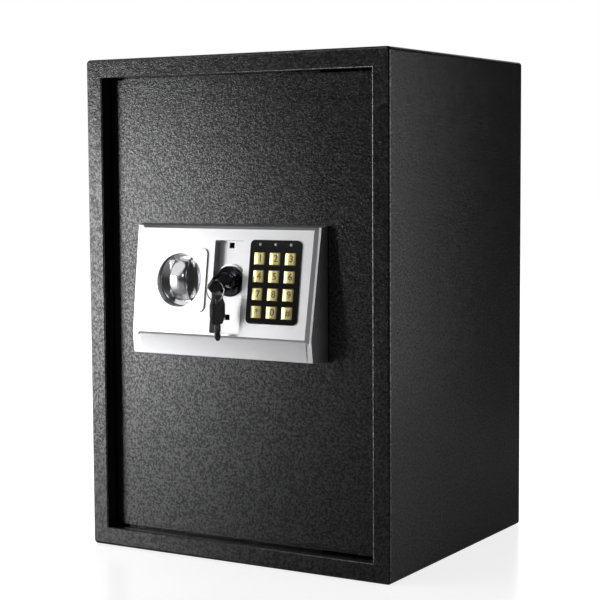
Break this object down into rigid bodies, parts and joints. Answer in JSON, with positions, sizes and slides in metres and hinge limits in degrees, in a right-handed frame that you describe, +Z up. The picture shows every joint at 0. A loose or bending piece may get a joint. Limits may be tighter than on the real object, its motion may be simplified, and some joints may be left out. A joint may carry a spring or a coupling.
{
  "type": "digital safe",
  "caption": "Steel cabinet safe with a recessed hinged door, keypad lock panel, turning knob that drives two bolts, and override key.",
  "frame": {"origin": "middle of the cabinet's underside", "axes": "+X to the right of the front, +Y from the door to the back, +Z up"},
  "size_m": [0.35, 0.3355, 0.5],
  "materials": {
    "powder_coat": "black hammer-texture powder coat",
    "silver_plastic": "silver paint over moulded plastic, faint brushed streaks",
    "black_plastic": "glossy black moulding",
    "cover_plastic": "fine-grained black moulding",
    "gold_plastic": "pale gold lacquered keycaps",
    "chrome": "polished chrome plate",
    "zinc_steel": "bright zinc plated steel",
    "brass": "turned brass",
    "felt": "needle-punched felt",
    "foam": "closed-cell foam",
    "circuit": "solder-masked glass fibre",
    "copper": "enamelled copper winding",
    "battery": "shrink sleeve",
    "red_plastic": "glossy red moulding",
    "clear_lens": "frosted lens",
    "cable": "flat ribbon insulation"
  },
  "bodies": {
    "cabinet": {"outer_shell": "powder_coat", "back_panel": "powder_coat", "strike_bar": "zinc_steel", "door_stops": "powder_coat", "frame_hinge_plates": "powder_coat", "hinge_bushes": "brass", "shelf": "powder_coat", "shelf_brackets": "powder_coat", "floor_mat": "felt"},
    "door": {"door_plate": "powder_coat", "bolt_guide": "zinc_steel", "door_hinge_brackets": "powder_coat", "hinge_pins": "zinc_steel", "carriage_guides": "zinc_steel", "solenoid_frame": "zinc_steel", "solenoid_coil": "copper", "circuit_board": "circuit", "battery_box": "cover_plastic", "batteries": "battery", "inner_cover": "cover_plastic", "cover_screws": "zinc_steel", "ribbon_cable": "cable", "panel_housing": "silver_plastic", "panel_gasket": "foam", "panel_screws": "zinc_steel", "keypad_bezel": "black_plastic", "keypad_board": "circuit", "indicator_lights": "clear_lens", "lock_body": "chrome", "lock_nut": "zinc_steel", "knob_bush": "brass"},
    "knob": {"knob_grip": "chrome", "knob_spindle": "zinc_steel", "knob_cam": "zinc_steel"},
    "bolts": {"bolt_carriage": "zinc_steel", "locking_bolts": "chrome"},
    "lock_core": {"lock_plug": "chrome", "lock_cam": "zinc_steel"},
    "plunger": {"plunger": "zinc_steel", "plunger_spring": "zinc_steel"},
    "fitted_key": {"key_blade": "chrome", "key_head": "black_plastic"},
    "ring": {"key_ring": "chrome"},
    "spare_key": {"spare_blade": "chrome", "spare_head": "black_plastic"},
    "battery_door": {"battery_cover": "cover_plastic"},
    "reset": {"reset_button": "red_plastic"},
    "key_1": {"key_1": "gold_plastic"},
    "key_2": {"key_2": "gold_plastic"},
    "key_3": {"key_3": "gold_plastic"},
    "key_4": {"key_4": "gold_plastic"},
    "key_5": {"key_5": "gold_plastic"},
    "key_6": {"key_6": "gold_plastic"},
    "key_7": {"key_7": "gold_plastic"},
    "key_8": {"key_8": "gold_plastic"},
    "key_9": {"key_9": "gold_plastic"},
    "key_star": {"key_star": "gold_plastic"},
    "key_0": {"key_0": "gold_plastic"},
    "key_hash": {"key_hash": "gold_plastic"}
  },
  "joints": [
    {"name": "door_swing", "type": "hinge", "parent": "cabinet", "child": "door", "pos_m": [0.134, -0.127, 0.25], "axis": [0, 0, 1], "range_deg": [0, 100]},
    {"name": "knob_turn", "type": "hinge", "parent": "door", "child": "knob", "pos_m": [-0.057, -0.135, 0.27959], "axis": [0, -1, 0], "range_deg": [0, 70]},
    {"name": "bolt_slide", "type": "slide", "parent": "door", "child": "bolts", "axis": [-1, 0, 0], "range_m": [0, 0.0138]},
    {"name": "override_turn", "type": "hinge", "parent": "door", "child": "lock_core", "pos_m": [-0.002, -0.135, 0.27959], "axis": [0, 1, 0], "range_deg": [0, 90]},
    {"name": "plunger_lift", "type": "slide", "parent": "door", "child": "plunger", "axis": [0, 0, 1], "range_m": [0, 0.0041], "deforming": ["plunger_spring"]},
    {"name": "key_pull", "type": "slide", "parent": "lock_core", "child": "fitted_key", "axis": [0, -1, 0], "range_m": [0, 0.035]},
    {"name": "ring_swing", "type": "hinge", "parent": "fitted_key", "child": "ring", "pos_m": [-0.00012, -0.1775, 0.28218], "axis": [1, 0, 0], "range_deg": [-45, 4]},
    {"name": "spare_key_swing", "type": "hinge", "parent": "ring", "child": "spare_key", "pos_m": [-0.00012, -0.1775, 0.26218], "axis": [1, 0, 0], "range_deg": [-30, 3]},
    {"name": "battery_cover_pull", "type": "slide", "parent": "door", "child": "battery_door", "axis": [0, 1, 0], "range_m": [0, 0.02]},
    {"name": "reset_press", "type": "slide", "parent": "door", "child": "reset", "axis": [0, -1, 0], "range_m": [0, 0.0018], "stiffness_N_per_m": 300, "springref_m": -0.001},
    {"name": "key_1_press", "type": "slide", "parent": "door", "child": "key_1", "axis": [0, 0.989, -0.1479], "range_m": [0, 0.0015], "stiffness_N_per_m": 300, "springref_m": -0.001},
    {"name": "key_2_press", "type": "slide", "parent": "door", "child": "key_2", "axis": [0, 0.989, -0.1479], "range_m": [0, 0.0015], "stiffness_N_per_m": 300, "springref_m": -0.001},
    {"name": "key_3_press", "type": "slide", "parent": "door", "child": "key_3", "axis": [0, 0.989, -0.1479], "range_m": [0, 0.0015], "stiffness_N_per_m": 300, "springref_m": -0.001},
    {"name": "key_4_press", "type": "slide", "parent": "door", "child": "key_4", "axis": [0, 0.989, -0.1479], "range_m": [0, 0.0015], "stiffness_N_per_m": 300, "springref_m": -0.001},
    {"name": "key_5_press", "type": "slide", "parent": "door", "child": "key_5", "axis": [0, 0.989, -0.1479], "range_m": [0, 0.0015], "stiffness_N_per_m": 300, "springref_m": -0.001},
    {"name": "key_6_press", "type": "slide", "parent": "door", "child": "key_6", "axis": [0, 0.989, -0.1479], "range_m": [0, 0.0015], "stiffness_N_per_m": 300, "springref_m": -0.001},
    {"name": "key_7_press", "type": "slide", "parent": "door", "child": "key_7", "axis": [0, 0.989, -0.1479], "range_m": [0, 0.0015], "stiffness_N_per_m": 300, "springref_m": -0.001},
    {"name": "key_8_press", "type": "slide", "parent": "door", "child": "key_8", "axis": [0, 0.989, -0.1479], "range_m": [0, 0.0015], "stiffness_N_per_m": 300, "springref_m": -0.001},
    {"name": "key_9_press", "type": "slide", "parent": "door", "child": "key_9", "axis": [0, 0.989, -0.1479], "range_m": [0, 0.0015], "stiffness_N_per_m": 300, "springref_m": -0.001},
    {"name": "key_star_press", "type": "slide", "parent": "door", "child": "key_star", "axis": [0, 0.989, -0.1479], "range_m": [0, 0.0015], "stiffness_N_per_m": 300, "springref_m": -0.001},
    {"name": "key_0_press", "type": "slide", "parent": "door", "child": "key_0", "axis": [0, 0.989, -0.1479], "range_m": [0, 0.0015], "stiffness_N_per_m": 300, "springref_m": -0.001},
    {"name": "key_hash_press", "type": "slide", "parent": "door", "child": "key_hash", "axis": [0, 0.989, -0.1479], "range_m": [0, 0.0015], "stiffness_N_per_m": 300, "springref_m": -0.001}
  ],
  "couplings": [
    {"joint": "bolt_slide", "follows": "knob_turn", "m_per_rad": 0.011267},
    {"joint": "plunger_lift", "follows": "override_turn", "m_per_rad": 0.0025465}
  ]
}
